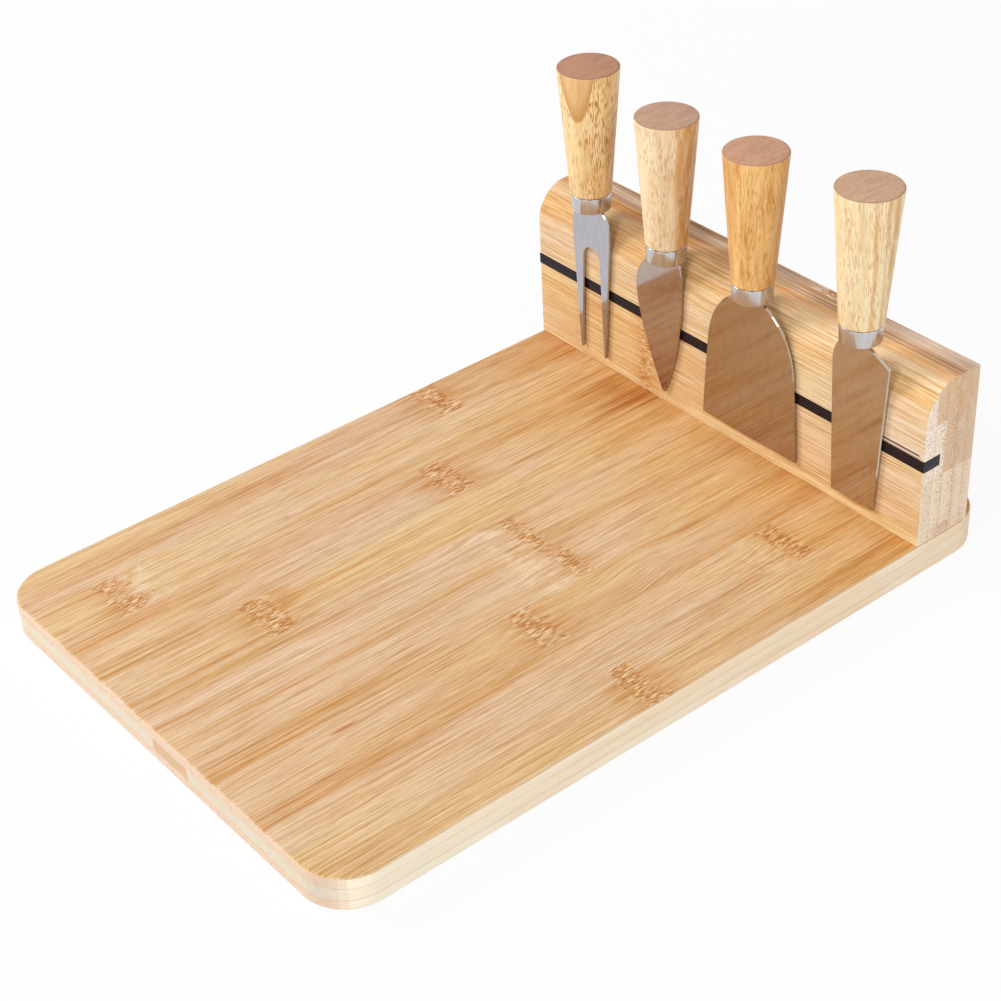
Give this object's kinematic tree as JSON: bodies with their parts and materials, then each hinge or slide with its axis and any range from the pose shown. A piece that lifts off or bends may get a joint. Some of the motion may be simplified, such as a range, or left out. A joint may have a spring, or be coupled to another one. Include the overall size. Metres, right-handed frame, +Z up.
{
  "type": "cheese board with tools",
  "caption": "Bamboo serving board with an upright block at one end, whose magnetic strip holds a cheese fork and knives with turned wooden handles.",
  "frame": {"origin": "centre of the board's underside, where it rests on the table", "axes": "+Z up, +X along the board towards the upright block, +Y across the board towards the fork"},
  "size_m": [0.317, 0.22, 0.1554],
  "materials": {
    "board_bamboo": "oiled bamboo strips, caramel, satin",
    "core_bamboo": "plain bamboo, pale, satin",
    "dark_core_bamboo": "caramel bamboo, satin",
    "block_bamboo": "oiled bamboo plies, caramel and pale, satin",
    "magnet": "black bonded magnet, satin",
    "screw_steel": "zinc-plated steel",
    "handle_wood": "pale turned hardwood, lacquered, satin",
    "ferrule_steel": "polished stainless steel",
    "blade_steel": "finely brushed stainless steel, bright"
  },
  "bodies": {
    "board": {"top_strip_1": "board_bamboo", "top_strip_2": "board_bamboo", "top_strip_3": "board_bamboo", "top_strip_4": "board_bamboo", "top_strip_5": "board_bamboo", "top_strip_6": "board_bamboo", "top_strip_7": "board_bamboo", "top_strip_8": "board_bamboo", "top_strip_9": "board_bamboo", "core_strip_1": "core_bamboo", "core_strip_2": "core_bamboo", "core_strip_3": "core_bamboo", "core_strip_4": "core_bamboo", "core_strip_5": "core_bamboo", "core_strip_6": "dark_core_bamboo", "core_strip_7": "core_bamboo", "core_strip_8": "core_bamboo", "core_strip_9": "core_bamboo", "core_strip_10": "core_bamboo", "bottom_strip_1": "board_bamboo", "bottom_strip_2": "board_bamboo", "bottom_strip_3": "board_bamboo", "bottom_strip_4": "board_bamboo", "bottom_strip_5": "board_bamboo", "bottom_strip_6": "board_bamboo", "bottom_strip_7": "board_bamboo", "bottom_strip_8": "board_bamboo", "bottom_strip_9": "board_bamboo", "block_front_ply_lower": "block_bamboo", "block_front_ply_upper": "block_bamboo", "block_ply_2": "block_bamboo", "block_ply_3": "block_bamboo", "block_ply_4": "block_bamboo", "block_ply_5": "block_bamboo", "magnet_strip": "magnet", "block_screw_1": "screw_steel", "block_screw_2": "screw_steel", "block_screw_3": "screw_steel"},
    "fork": {"fork_handle": "handle_wood", "fork_ferrule": "ferrule_steel", "fork_blade": "blade_steel"},
    "pointed_knife": {"pointed_knife_handle": "handle_wood", "pointed_knife_ferrule": "ferrule_steel", "pointed_knife_blade": "blade_steel"},
    "spade_knife": {"spade_knife_handle": "handle_wood", "spade_knife_ferrule": "ferrule_steel", "spade_knife_blade": "blade_steel"},
    "flat_knife": {"flat_knife_handle": "handle_wood", "flat_knife_ferrule": "ferrule_steel", "flat_knife_blade": "blade_steel"}
  },
  "joints": [
    {"name": "fork_lift", "type": "slide", "parent": "board", "child": "fork", "axis": [0, 0, 1], "range_m": [0, 0.08]},
    {"name": "pointed_knife_lift", "type": "slide", "parent": "board", "child": "pointed_knife", "axis": [0, 0, 1], "range_m": [0, 0.08]},
    {"name": "spade_knife_lift", "type": "slide", "parent": "board", "child": "spade_knife", "axis": [0, 0, 1], "range_m": [0, 0.08]},
    {"name": "flat_knife_lift", "type": "slide", "parent": "board", "child": "flat_knife", "axis": [0, 0, 1], "range_m": [0, 0.08]}
  ]
}
